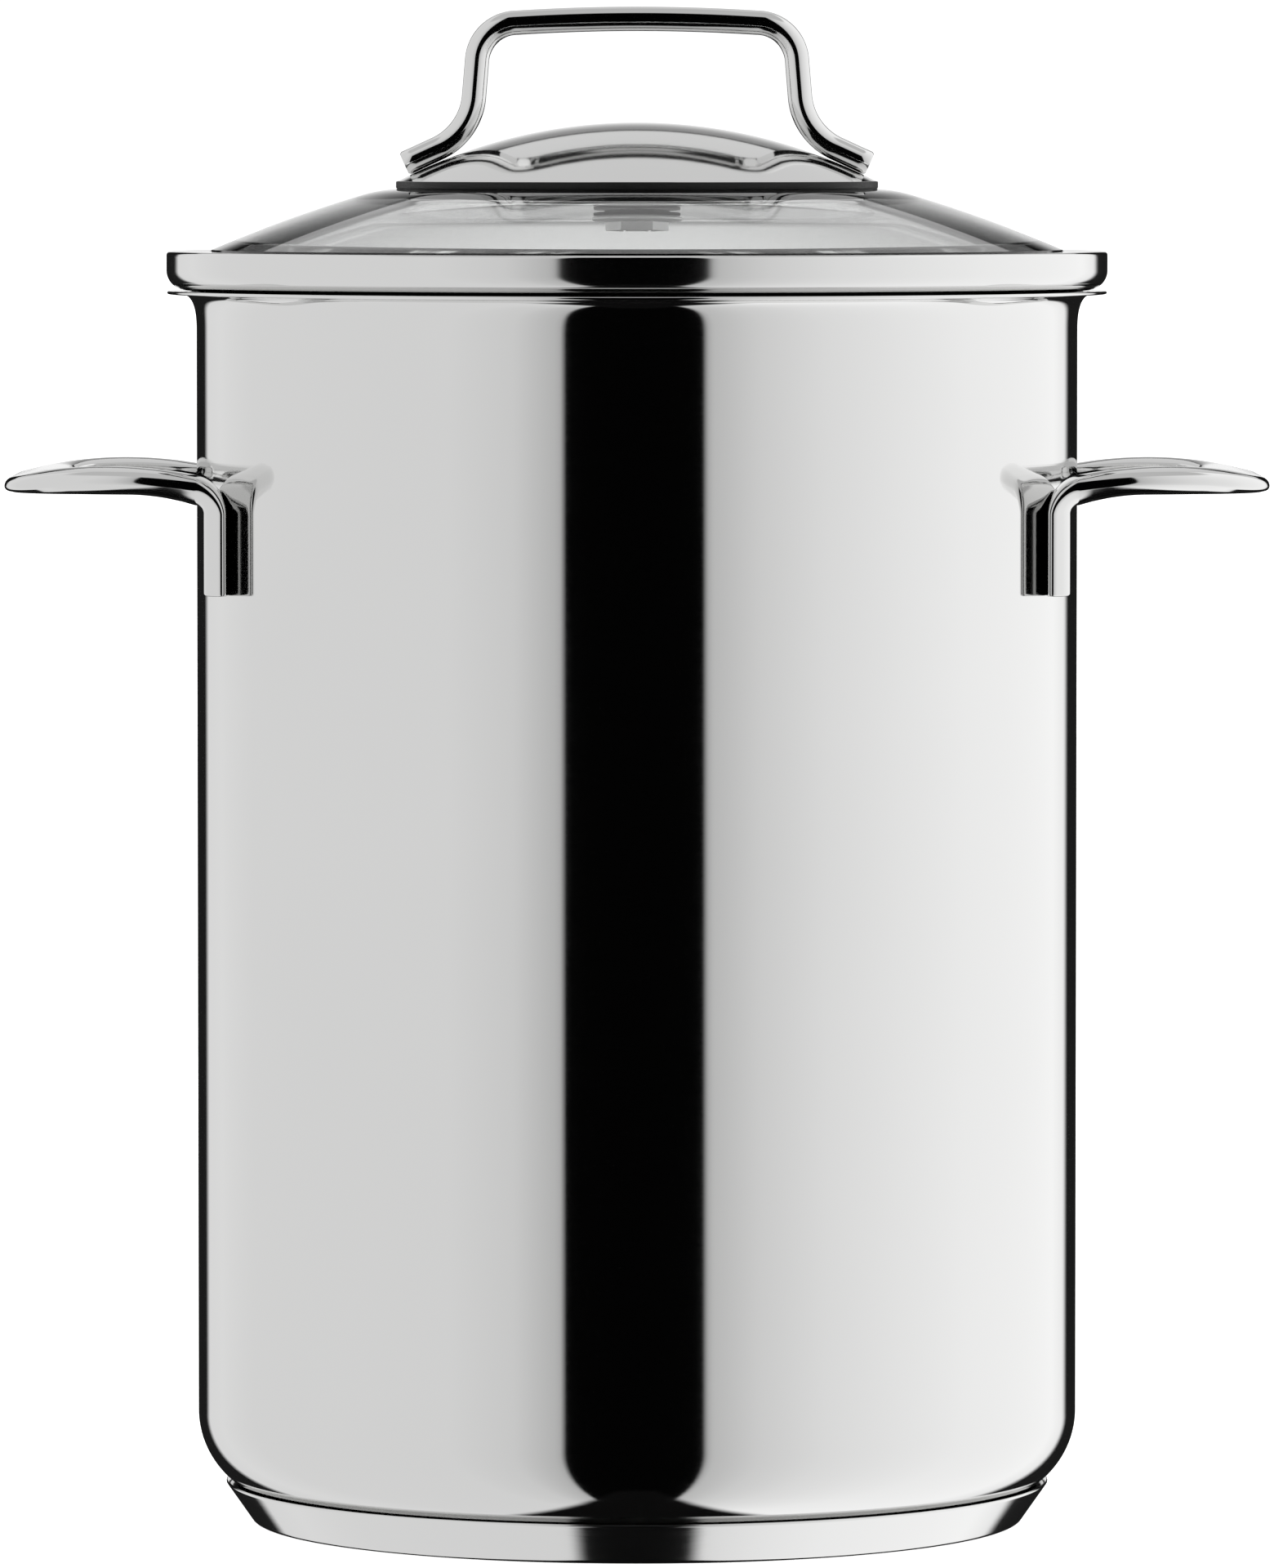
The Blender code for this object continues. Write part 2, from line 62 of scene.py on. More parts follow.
SHEET = 0.8                     # thickness of the pot's steel
WALL_RADIUS = 80.8
RIM_RADIUS = high("pot_shell").x
RIM_Z = high("pot_shell").z
FLOOR_Z = low("pot_shell").z
WALL_CORNER = 16.0
LIP = 0.65                      # thickness of the rim's lip
FLARE_WIDTH = 3.2
FLARE_HEIGHT = 7.0
FLARE_POWER = 2.7               # exponent of the flare's superellipse

LEDGE_RADIUS = high("base_capsule").x
LEDGE_Z = high("base_capsule").z
LEDGE_RISE = 0.4                # the skin's edge stands this much above the CAD ledge
LEDGE_INSET = 0.2
LEDGE_ROUND = 0.27
FOOT_RADIUS = 70.2
FOOT_BEND = 1.6

HANDLE_REACH = high("side_handle_right").x
HANDLE_TOP_Z = high("side_handle_right").z
HANDLE_LEG_Z = low("side_handle_right").z

BAND_RADIUS = high("lid_rim_band").x
BAND_TOP_Z = high("lid_rim_band").z
SKIRT_FOOT_Z = low("lid_rim_band").z
CAP_RADIUS = high("lid_cap").x
CAP_APEX_Z = high("lid_cap").z
BAR_TOP_Z = high("lid_handle").z
BAR_HALF_DEPTH = high("lid_handle").y

ROUND = 256                     # faces round the large turned pieces


# ---------------------------------------------------------------- Camera

CAMERA_DISTANCE = 2160.0
CAMERA_HEIGHT = 254.9
CAMERA_TILT = 3.16              # degrees below level
CAMERA_LENS = 270.0

camera_data = bpy.data.cameras.new("camera")
camera_data.sensor_fit = "VERTICAL"
camera_data.sensor_height = 36.0
camera_data.lens = CAMERA_LENS
camera_data.clip_end = 50.0
camera = bpy.data.objects.new("camera", camera_data)
bpy.context.scene.collection.objects.link(camera)
camera.location = Vector((0.0, -CAMERA_DISTANCE, CAMERA_HEIGHT)) * MM
camera.rotation_euler = (math.radians(90 - CAMERA_TILT), 0.0, 0.0)
bpy.context.scene.camera = camera
bpy.context.scene.view_settings.view_transform = "Standard"
bpy.context.scene.view_settings.look = "None"


# ---------------------------------------------------------------- Node helpers

class Nodes:
    """A short way to write shader node trees."""

    def __init__(self, tree):
        self.tree = tree
        self.tree.nodes.clear()

    def add(self, kind, inputs=None, **settings):
        node = self.tree.nodes.new(kind)
        for key, value in settings.items():
            setattr(node, key, value)
        for key, value in (inputs or {}).items():
            self.feed(node.inputs[key], value)
        return node

    def feed(self, socket, value):
        if isinstance(value, bpy.types.NodeSocket):
            self.tree.links.new(value, socket)
        elif isinstance(value, bpy.types.Node):
            self.tree.links.new(value.outputs[0], socket)
        else:
            socket.default_value = value

    def math(self, operation, first, second=0.0):
        return self.add("ShaderNodeMath", {0: first, 1: second}, operation=operation).outputs[0]

    def step(self, value, start, end, low_value=0.0, high_value=1.0):
        """Rises smoothly from low_value to high_value as value goes from start to end."""
        inputs = {"Value": value, "From Min": start, "From Max": end,
                  "To Min": low_value, "To Max": high_value}
        return self.add("ShaderNodeMapRange", inputs, interpolation_type="SMOOTHSTEP").outputs[0]

    def blend(self, factor, first, second):
        """The value first where factor is 0, and second where it is 1."""
        return self.add("ShaderNodeMix", {0: factor, 2: first, 3: second}, data_type="FLOAT").outputs[0]

    def ramp(self, value, stops):
        node = self.add("ShaderNodeValToRGB", {"Fac": value})
        elements = node.color_ramp.elements
        while len(elements) < len(stops):
            elements.new(0.5)
        for element, (place, level) in zip(elements, stops):
            element.position = place
            colour = level if isinstance(level, tuple) else (level, level, level)
            element.color = (*colour, 1.0)
        return node.outputs[0]


# ---------------------------------------------------------------- Studio

DARK = 0.012                    # the flags behind the pot
BLACK = 0.001                   # the gap in front of it
RUNNER = 0.004                  # a dark runner on the floor, under the pot from front to back
RUNNER_FLARE = 0.17             # how fast the runner widens towards the back
CEILING = 0.58
BACK_WALL = 0.70
BACK_LINE = 0.03                # the dark line between the back panel and the back wall
BACK_LINE_ELEVATION = 19.8
BACKDROP = 1.12                 # plain white, for everything but mirrors
FLOOR_METRES = 30.0
FLOOR_GLOW = 0.6                # keeps the pot's shadow on the floor faint

# The light that mirrors see round the pot: degrees from the camera's side, and brightness.
SIDES = ((-180, DARK), (-155.5, DARK), (-152, 0.79), (-140, 0.84), (-120, 0.80), (-50, 0.79), (-32, 0.72),
         (-19.8, 0.54), (-18.5, BLACK), (0, BLACK), (17.2, BLACK), (18.5, 0.58), (32, 0.74), (50, 0.86),
         (72, 0.95), (95, 1.03), (140, 1.10), (150, 0.96), (154, DARK), (180, DARK))


def make_world():
    """Soft boxes left and right, a dark gap in front and dark flags behind, as mirrors see them."""
    world = bpy.data.worlds.new("studio")
    bpy.context.scene.world = world
    world.use_nodes = True
    world.cycles.sampling_method = "NONE"
    n = Nodes(world.node_tree)
    direction = n.add("ShaderNodeTexCoord").outputs["Generated"]
    axes = n.add("ShaderNodeSeparateXYZ", {0: direction})
    backwards = n.math("MULTIPLY", axes.outputs["Y"], -1.0)
    azimuth = n.math("DEGREES", n.math("ARCTAN2", axes.outputs["X"], backwards))
    elevation = n.math("DEGREES", n.math("ARCSINE", axes.outputs["Z"]))

    turn = n.math("DIVIDE", n.math("ADD", azimuth, 180.0), 360.0)
    around = n.ramp(turn, [((angle + 180) / 360, brightness) for angle, brightness in SIDES])
    ceiling = n.step(elevation, 54.0, 60.0)
    level = n.blend(ceiling, around, CEILING)

    aside = n.math("ABSOLUTE", azimuth)
    behind = n.step(aside, 150.0, 156.0)
    straight = n.step(aside, 172.0, 175.0, DARK, 1.0)
    panel = n.math("MULTIPLY", n.step(elevation, 0.0, 19.0, 0.95, 0.28), straight)
    wall = n.blend(n.step(elevation, 20.2, 21.0), panel, BACK_WALL)
    from_line = n.math("ABSOLUTE", n.math("SUBTRACT", elevation, BACK_LINE_ELEVATION))
    back = n.blend(n.step(from_line, 0.2, 0.9, 1.0, 0.0), wall, BACK_LINE)
    upright = n.math("MULTIPLY", n.step(elevation, -0.5, 0.0), n.step(elevation, 62.0, 66.0, 1.0, 0.0))
    level = n.blend(n.math("MULTIPLY", behind, upright), level, back)

    depth = n.math("MAXIMUM", n.math("MULTIPLY", axes.outputs["Z"], -1.0), 0.1)
    floor_x = n.math("DIVIDE", n.math("ABSOLUTE", axes.outputs["X"]), depth)
    floor_y = n.math("DIVIDE", axes.outputs["Y"], depth)
    from_middle = n.math("SUBTRACT", floor_x, n.math("MULTIPLY", floor_y, RUNNER_FLARE))
    downwards = n.step(elevation, -56.0, -50.0, 1.0, 0.0)
    runner = n.math("MULTIPLY", n.step(from_middle, 0.19, 0.25, 1.0, 0.0), downwards)
    level = n.blend(runner, level, RUNNER)

    mirror = n.add("ShaderNodeBackground", {"Color": level, "Strength": 1.0})
    plain = n.add("ShaderNodeBackground", {"Color": (1.0, 1.0, 1.0, 1.0), "Strength": BACKDROP})
    seen = n.add("ShaderNodeLightPath").outputs["Is Glossy Ray"]
    mix = n.add("ShaderNodeMixShader", {0: seen, 1: plain, 2: mirror})
    n.add("ShaderNodeOutputWorld", {"Surface": mix})


def make_floor():
    mesh = bpy.data.meshes.new("floor")
    shape = bmesh.new()
    bmesh.ops.create_circle(shape, cap_ends=True, segments=96, radius=FLOOR_METRES)
    shape.to_mesh(mesh)
    shape.free()
    floor = bpy.data.objects.new("floor", mesh)
    bpy.context.scene.collection.objects.link(floor)
    floor.visible_glossy = False
    material = bpy.data.materials.new("pale_floor")
    material.use_nodes = True
    n = Nodes(material.node_tree)
    grain = n.add("ShaderNodeTexNoise", {"Scale": 900.0, "Detail": 3.0})
    colour = n.ramp(grain, [(0.3, 0.90), (0.7, 0.94)])
    shader = n.add("ShaderNodeBsdfPrincipled", {
        "Base Color": colour, "Roughness": 0.9, "Specular IOR Level": 0.0,
        "Emission Color": (1.0, 1.0, 1.0, 1.0), "Emission Strength": FLOOR_GLOW})
    n.add("ShaderNodeOutputMaterial", {"Surface": shader})
    mesh.materials.append(material)


# ---------------------------------------------------------------- Materials

GRAIN_ALONG = 9.0               # polishing lines: noise scale along them, and across them
GRAIN_ACROSS = 2600.0


def finish_material(n, shader):
    n.add("ShaderNodeOutputMaterial", {"Surface": shader})


def steel(name, tone=0.80, roughness=0.10, grain="wall", bump=0.02):
    """Polished stainless steel with faint polishing lines, and slow changes of gloss."""
    material = bpy.data.materials.new(name)
    material.use_nodes = True
    n = Nodes(material.node_tree)
    place = n.add("ShaderNodeTexCoord").outputs["Object"]
    axes = n.add("ShaderNodeSeparateXYZ", {0: place})
    if grain == "turned":
        flat = n.add("ShaderNodeCombineXYZ", {"X": axes.outputs["X"], "Y": axes.outputs["Y"]})
        across = n.add("ShaderNodeVectorMath", {0: flat}, operation="LENGTH").outputs["Value"]
    elif grain == "bar":
        across = axes.outputs["Y"]
    else:
        across = axes.outputs["Z"]
    lines = n.add("ShaderNodeCombineXYZ", {
        "X": n.math("MULTIPLY", axes.outputs["X"], GRAIN_ALONG),
        "Y": n.math("MULTIPLY", axes.outputs["Y"], GRAIN_ALONG),
        "Z": n.math("MULTIPLY", across, GRAIN_ACROSS)})
    fine = n.add("ShaderNodeTexNoise", {"Vector": lines, "Scale": 1.0, "Detail": 4.0, "Roughness": 0.6})
    slow = n.add("ShaderNodeTexNoise", {"Vector": place, "Scale": 14.0, "Detail": 3.0})
    duller = (tone * 0.985, tone * 0.985, tone * 0.98)
    colour = n.ramp(slow, [(0.3, duller), (0.7, (tone, tone, tone * 0.995))])
    gloss = n.math("ADD", n.step(slow, 0.3, 0.7, roughness * 0.9, roughness * 1.1),
                   n.step(fine, 0.3, 0.7, -roughness * 0.12, roughness * 0.12))
    relief = n.add("ShaderNodeBump", {"Height": fine, "Strength": bump, "Distance": 0.0001})
    shader = n.add("ShaderNodeBsdfPrincipled", {
        "Base Color": colour, "Metallic": 1.0, "Roughness": gloss, "Normal": relief})
    finish_material(n, shader)
    return material


def glass():
    """Clear tempered glass, faintly green."""
    material = bpy.data.materials.new("lid_glass_clear")
    material.use_nodes = True
    n = Nodes(material.node_tree)
    place = n.add("ShaderNodeTexCoord").outputs["Object"]
    slow = n.add("ShaderNodeTexNoise", {"Vector": place, "Scale": 16.0, "Detail": 2.0})
    colour = n.ramp(slow, [(0.3, (0.98, 0.988, 0.983)), (0.7, (0.985, 0.992, 0.988))])
    shader = n.add("ShaderNodeBsdfPrincipled", {
        "Base Color": colour, "Metallic": 0.0, "Roughness": 0.0, "IOR": 1.5, "Transmission Weight": 1.0})
    finish_material(n, shader)
    return material


def silicone():
    """Black moulded silicone with a fine matt skin."""
    material = bpy.data.materials.new("black_silicone_skin")
    material.use_nodes = True
    n = Nodes(material.node_tree)
    place = n.add("ShaderNodeTexCoord").outputs["Object"]
    skin = n.add("ShaderNodeTexNoise", {"Vector": place, "Scale": 2500.0, "Detail": 3.0})
    colour = n.ramp(skin, [(0.3, 0.006), (0.7, 0.012)])
    relief = n.add("ShaderNodeBump", {"Height": skin, "Strength": 0.15, "Distance": 0.00005})
    gloss = n.step(skin, 0.3, 0.7, 0.42, 0.52)
    shader = n.add("ShaderNodeBsdfPrincipled", {
        "Base Color": colour, "Roughness": gloss, "Normal": relief, "Specular IOR Level": 0.25})
    finish_material(n, shader)
    return material


# ---------------------------------------------------------------- Shape helpers

def arc(centre_x, centre_z, radius, start, end, count):
    """Points on a circular arc, angles in degrees from the first axis towards the second."""
    points = []
    for index in range(count + 1):
        angle = math.radians(start + (end - start) * index / count)
        points.append((centre_x + radius * math.cos(angle), centre_z + radius * math.sin(angle)))
    return points


def spread(start, end, count):
    return [start + (end - start) * index / count for index in range(count + 1)]


def supported(outline, closed, reach=0.25):
    """The outline with a point near each end of its long runs, so that shading stays flat along them."""
    result = []
    count = len(outline)
    for index, (x, z) in enumerate(outline):
        result.append((x, z))
        if index == count - 1 and not closed:
            break
        next_x, next_z = outline[(index + 1) % count]
        length = math.hypot(next_x - x, next_z - z)
        if length > 4 * reach:
            for share in (reach / length, 1 - reach / length):
                result.append((x + (next_x - x) * share, z + (next_z - z) * share))
    return result


def add_piece(name, mesh, material, body, nodes, sharp=40):
    mesh.materials.append(material)
    mesh.shade_smooth()
    mesh.set_sharp_from_angle(angle=math.radians(sharp))
    piece = bpy.data.objects.new(name, mesh)
    bpy.context.scene.collection.objects.link(piece)
    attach(piece, body)
    if nodes:
        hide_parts(*nodes)
    return piece


def lathe(name, outline, closed=False, steps=ROUND):
    """Turn an outline of (radius, height) points round the Z axis."""
    points = supported(outline, closed)
    shape = bmesh.new()
    rings = []
    for radius, height in points:
        if radius < 1e-6:
            rings.append([shape.verts.new((0.0, 0.0, height * MM))] * steps)
            continue
        ring = []
        for step in range(steps):
            angle = 2 * math.pi * step / steps
            x = radius * MM * math.cos(angle)
            y = radius * MM * math.sin(angle)
            ring.append(shape.verts.new((x, y, height * MM)))
        rings.append(ring)
    pairs = list(zip(rings, rings[1:]))
    if closed:
        pairs.append((rings[-1], rings[0]))
    for upper, lower in pairs:
        for step in range(steps):
            after = (step + 1) % steps
            corners = [upper[step], lower[step], lower[after], upper[after]]
            unique = list(dict.fromkeys(corners))
            if len(unique) > 2:
                shape.faces.new(unique)
    bmesh.ops.recalc_face_normals(shape, faces=shape.faces)
    mesh = bpy.data.meshes.new(name)
    shape.to_mesh(mesh)
    shape.free()
    return mesh


def loft(name, sections, closed_ends=True):
    """A skin through equal rings of points, with flat ends."""
    shape = bmesh.new()
    rings = [[shape.verts.new(Vector(point) * MM) for point in section] for section in sections]
    count = len(rings[0])
    for first, second in zip(rings, rings[1:]):
        for index in range(count):
            after = (index + 1) % count
            shape.faces.new((first[index], first[after], second[after], second[index]))
    if closed_ends:
        shape.faces.new(rings[0])
        shape.faces.new(rings[-1])
    bmesh.ops.recalc_face_normals(shape, faces=shape.faces)
    mesh = bpy.data.meshes.new(name)
    shape.to_mesh(mesh)
    shape.free()
    return mesh


# ---------------------------------------------------------------- Pot

def flare_curve():
    """The flare under the rim, from the wall up to the lip, as (distance out, depth below the lip)."""
    points = []
    for angle in spread(0.0, 90.0, 28):
        turned = math.radians(angle)
        out = 1 - max(math.cos(turned), 0.0) ** (2 / FLARE_POWER)
        fall = 1 - math.sin(turned) ** (2 / FLARE_POWER)
        points.append((FLARE_WIDTH * out, FLARE_HEIGHT * fall))
    return points


def make_pot(body_steel):
    corner = (WALL_RADIUS - WALL_CORNER, FLOOR_Z + WALL_CORNER)
    lip_z = RIM_Z - LIP
    outside = [(WALL_RADIUS + x, lip_z - depth) for x, depth in flare_curve()]
    inside = [(x - SHEET, z + LIP) for x, z in outside]
    outline = [(0.0, FLOOR_Z + SHEET)]
    outline += arc(*corner, WALL_CORNER - SHEET, -90, 0, 24)
    outline += inside
    outline += arc(RIM_RADIUS - LIP / 2, RIM_Z - LIP / 2, LIP / 2, 90, -90, 8)
    outline += outside[::-1]
    outline += arc(*corner, WALL_CORNER, 0, -90, 32)
    outline += [(0.0, FLOOR_Z)]
    add_piece("pot_body", lathe("pot_body", outline), body_steel, "pot", ["pot_shell"])


def make_capsule(turned_steel):
    """The steel shell of the base; its rounded edge stands just clear of the pot's corner."""
    tip_z = LEDGE_Z + LEDGE_RISE
    foot_x = FOOT_RADIUS - 0.4
    slope = Vector((LEDGE_RADIUS - FOOT_RADIUS, tip_z - FOOT_BEND)).normalized()
    tilt = math.degrees(math.atan2(-slope.x, slope.y))
    seam_z = tip_z - 0.3
    drop = FLOOR_Z + WALL_CORNER - seam_z
    seam = WALL_RADIUS - WALL_CORNER + math.sqrt(WALL_CORNER ** 2 - drop ** 2)
    outline = [(0.0, SHEET), (foot_x, SHEET), (seam - 0.9, seam_z - 0.6), (seam, seam_z)]
    outline += arc(LEDGE_RADIUS - LEDGE_INSET - LEDGE_ROUND, tip_z - LEDGE_ROUND, LEDGE_ROUND, 110, tilt, 8)
    outline += arc(foot_x, FOOT_BEND, FOOT_BEND, tilt, -90, 12)
    outline += [(0.0, 0.0)]
    mesh = lathe("base_capsule_skin", outline)
    add_piece("base_capsule_skin", mesh, turned_steel, "pot", ["base_capsule"])


# ---------------------------------------------------------------- Side handles

HANDLE_HALF_WIDTH = 38.5
HANDLE_BAR = 11.5               # width of the bar, seen from above
HANDLE_BOW_START = 85.0
HANDLE_BOW = 40.0               # radius of the arms' inward bow, on the outside
HANDLE_CORNER = 18.0
HANDLE_INNER_CORNER = 9.0
HANDLE_CREST_X = 96.0
HANDLE_NOSE = (100.0, 110.0)    # here the slanted side faces turn into a round nose
UNDERSIDE_Z = 189.9
LEG_OUTSIDE_X = 78.4
LEG_EDGE_X = 75.0               # widest line of the leg
LEG_BACK_X = 74.1
FILLET = 1.5                    # inside of the bend, between the arm's underside and the leg
PIVOT_X = LEG_OUTSIDE_X + FILLET
WALL_CLEARANCE = 0.2
EDGE_SLANT = 38.0               # how far the bar's side faces lean in below its widest line
NOSE_SLANT = 78.0               # and at the round nose
TOP_EDGE = 1.5                  # radius of the bar's edge above its widest line
LOW_EDGE = 1.45                 # and below it
BELLY = 4.0                     # radius of the bar's underside, beside its flat middle
BEND_EDGE_CUT = 0.45            # how much the widest line cuts the corner halfway round the bend
BEND_TOP_CUT = 0.4
BEND_STEPS = 24


def arm_top(x):
    """Height of the arm's top, falling away on both sides of its crest."""
    arch = 170.0 if x < HANDLE_CREST_X else 150.0
    return HANDLE_TOP_Z - (x - HANDLE_CREST_X) ** 2 / arch


def arm_edge(x):
    """Height of the bar's widest line."""
    fall = 0.0045 if x < 94.0 else 0.0028
    return HANDLE_TOP_Z - 2.7 - fall * (x - 94.0) ** 2


def arm_bottom(x):
    """Height of the arm's underside: level, and dipping towards the bend."""
    return UNDERSIDE_Z - 0.013 * max(92.0 - x, 0.0) ** 2


def bowed_side(half_width, reach, bow, corner):
    """Half of the U seen from above, from the bend to the middle of its end."""
    bow_y = half_width - bow
    corner_x = reach - corner
    turn = math.asin((corner_x - HANDLE_BOW_START) / (bow - corner))
    corner_y = bow_y + (bow - corner) * math.cos(turn)
    meet = 90 - math.degrees(turn)
    side = [(x, half_width) for x in spread(PIVOT_X, HANDLE_BOW_START, 2)]
    side += arc(HANDLE_BOW_START, bow_y, bow, 90, meet, 28)[1:]
    side += arc(corner_x, corner_y, corner, meet, 0, 22)[1:]
    side += [(reach, y) for y in spread(corner_y, 0.0, 6)[1:]]
    return side


def bar_section(half, up, down, nose=0.0):
    """Section of the bar as (across, height): crowned above, slanted sides and flat below.

    The sides lean in below the widest line; where nose is 1 they are fully round instead.
    """
    edge = min(TOP_EDGE, 0.85 * up)
    right = []
    for inset in spread(half, edge, 6)[:-1]:
        right.append((half - inset, edge + (up - edge) * (1 - (1 - inset / half) ** 2)))
    for angle in spread(90.0, 0.0, 8):
        inset = edge * (1 - math.cos(math.radians(angle)))
        crown = (up - edge) * (1 - (1 - inset / half) ** 2)
        right.append((half - inset, edge * math.sin(math.radians(angle)) + crown))
    lean = EDGE_SLANT + nose * (NOSE_SLANT - EDGE_SLANT)
    slant = math.radians(lean)
    edge = min(LOW_EDGE, (0.42 + 0.48 * nose) * down)
    toe = (1 - nose) * min(BELLY, 1.65 * down) + nose * 0.2 * down
    right += arc(half - edge, 0.0, edge, 0, -lean, 8)[1:]
    facet_drop = down - toe * (1 - math.sin(slant)) - edge * math.sin(slant)
    toe_x = half - edge * (1 - math.cos(slant)) - facet_drop * math.tan(slant) - toe * math.cos(slant)
    right += arc(toe_x, toe - down, toe, -lean, -90, 8)
    right.append((toe_x * 0.5, -down))
    left = [(-across, height) for across, height in reversed(right[1:])]
    return right + left


def arm_section(half, x, nose):
    return bar_section(half, arm_top(x) - arm_edge(x), arm_edge(x) - arm_bottom(x), nose)


def make_side_handles(cast_steel):
    """Each handle is one skin through sections: up a leg, round the bend, along the arm, and back again."""
    outer = bowed_side(HANDLE_HALF_WIDTH, HANDLE_REACH, HANDLE_BOW, HANDLE_CORNER)
    inner = bowed_side(HANDLE_HALF_WIDTH - HANDLE_BAR, HANDLE_REACH - HANDLE_BAR,
                       HANDLE_BOW - HANDLE_BAR, HANDLE_INNER_CORNER)
    half = HANDLE_BAR / 2
    leg_y = HANDLE_HALF_WIDTH - half
    pivot_z = arm_bottom(PIVOT_X) - FILLET
    reach_down = PIVOT_X - LEG_EDGE_X
    reach_back = PIVOT_X - LEG_BACK_X
    sections = []

    def outside_wall(x, y, z):
        share = max((WALL_RADIUS + WALL_CLEARANCE) / math.hypot(x, y), 1.0)
        return (x * share, y * share, z)

    leg = [(0.35, HANDLE_LEG_Z), (0.1, HANDLE_LEG_Z + 0.12), (0.0, HANDLE_LEG_Z + 0.4)]
    leg += [(0.0, z) for z in spread(HANDLE_LEG_Z + 1.0, pivot_z - 0.5, 5)]
    for inset, z in leg:
        ring = []
        for across, height in bar_section(half - inset, reach_back - reach_down, reach_down - FILLET - inset):
            ring.append(outside_wall(PIVOT_X - reach_down - height, leg_y + across, z))
        sections.append(ring)

    top_reach = arm_top(PIVOT_X) - pivot_z
    edge_reach = arm_edge(PIVOT_X) - pivot_z
    for step in range(BEND_STEPS + 1):
        share = step / BEND_STEPS
        turn = math.radians(90 * share)
        pinch = math.sin(2 * turn)
        edge = reach_down + (edge_reach - reach_down) * share - BEND_EDGE_CUT * pinch
        top = reach_back + (top_reach - reach_back) * share - BEND_TOP_CUT * pinch
        ring = []
        for across, height in bar_section(half, top - edge, edge - FILLET):
            away = edge + height
            x = PIVOT_X - away * math.cos(turn)
            ring.append(outside_wall(x, leg_y + across, pivot_z + away * math.sin(turn)))
        sections.append(ring)

    nose_start, nose_end = HANDLE_NOSE
    for (outer_x, outer_y), (inner_x, inner_y) in list(zip(outer, inner))[1:]:
        width = math.hypot(outer_x - inner_x, outer_y - inner_y) / 2
        middle_x = (outer_x + inner_x) / 2
        middle_y = (outer_y + inner_y) / 2
        nose = min(max((middle_x - nose_start) / (nose_end - nose_start), 0.0), 1.0)
        ring = []
        for index, (guess, _) in enumerate(arm_section(width, middle_x, nose)):
            guess_x = middle_x + guess / width * (outer_x - inner_x) / 2
            across, height = arm_section(width, guess_x, nose)[index]
            x = middle_x + across / width * (outer_x - inner_x) / 2
            y = middle_y + across / width * (outer_y - inner_y) / 2
            ring.append(outside_wall(x, y, arm_edge(guess_x) + height))
        sections.append(ring)

    mirrored = []
    for ring in sections[-2::-1]:
        mirrored.append([(x, -y, z) for x, y, z in ring])
    whole = sections + mirrored
    for side, sign in (("right", 1), ("left", -1)):
        turned = [[(sign * x, sign * y, z) for x, y, z in ring] for ring in whole]
        mesh = loft(f"side_handle_{side}_bar", turned)
        add_piece(f"side_handle_{side}_bar", mesh, cast_steel, "pot", [f"side_handle_{side}"],
                  60)


# ---------------------------------------------------------------- Lid

GLASS_BORE = 6.0
GLASS_FLAT_RADIUS = 43.0
GLASS_FLAT_Z = 245.0
GLASS_KNEE_RADIUS = 50.5
GLASS_SLOPE = 0.30              # just outside the knee
GLASS_DOME_CURVE = 0.00225
GLASS_DOME_RADIUS = 78.1        # outside this the glass is the flange that lies under the band
GLASS_UNDER_RADIUS = 73.0       # the dome's underside ends here
GLASS_THICKNESS = 4.0
BAND_SHEET = 0.6
BAND_INNER = 78.3
BAND_BEND = 0.6                 # radius of the band's top corner
BAND_CURL = 3.6                 # radius of its lower corner
SKIRT_RADIUS = 79.4             # the band's skirt, which sits inside the pot's rim
SKIRT_BEND = 1.0
CAP_ROUND = 95.0                # radius of the cap's dome
CAP_SHEET = 0.5
SEAL_WIDTH = 2.9                # the gasket reaches this far in under the cap


def glass_top(radius):
    """Height of the glass's upper face: flat under the cap, then a shallow dome."""
    knee = GLASS_KNEE_RADIUS - GLASS_FLAT_RADIUS
    bent = min(max(radius - GLASS_FLAT_RADIUS, 0.0), knee)
    beyond = max(radius - GLASS_KNEE_RADIUS, 0.0)
    return GLASS_FLAT_Z - GLASS_SLOPE * (bent ** 2 / (2 * knee) + beyond) - GLASS_DOME_CURVE * beyond ** 2


def cap_top(radius):
    """Height of the steel cap's upper face."""
    return CAP_APEX_Z - CAP_ROUND + math.sqrt(CAP_ROUND ** 2 - radius ** 2)


def make_lid_glass(clear):
    """The tempered glass: its flat middle, its dome, and the flange under the band."""
    flange_z = BAND_TOP_Z - BAND_SHEET - 0.05
    flange_foot_z = flange_z - GLASS_THICKNESS
    under_z = GLASS_FLAT_Z - GLASS_THICKNESS
    edge = high("lid_glass").x
    knee = GLASS_FLAT_RADIUS + 1.0
    outline = [(GLASS_BORE, GLASS_FLAT_Z), (GLASS_FLAT_RADIUS, GLASS_FLAT_Z)]
    outline += [(r, glass_top(r)) for r in spread(knee, GLASS_DOME_RADIUS, 38)]
    outline += [(GLASS_DOME_RADIUS + 0.1, flange_z), (edge, flange_z), (edge, flange_foot_z), (77.0, flange_foot_z)]
    outline += [(r, glass_top(r) - GLASS_THICKNESS) for r in spread(GLASS_UNDER_RADIUS, knee, 32)]
    outline += [(GLASS_FLAT_RADIUS, under_z), (GLASS_BORE, under_z)]
    mesh = lathe("lid_glass_dome", outline, closed=True)
    add_piece("lid_glass_dome", mesh, clear, "lid", ["lid_glass"])


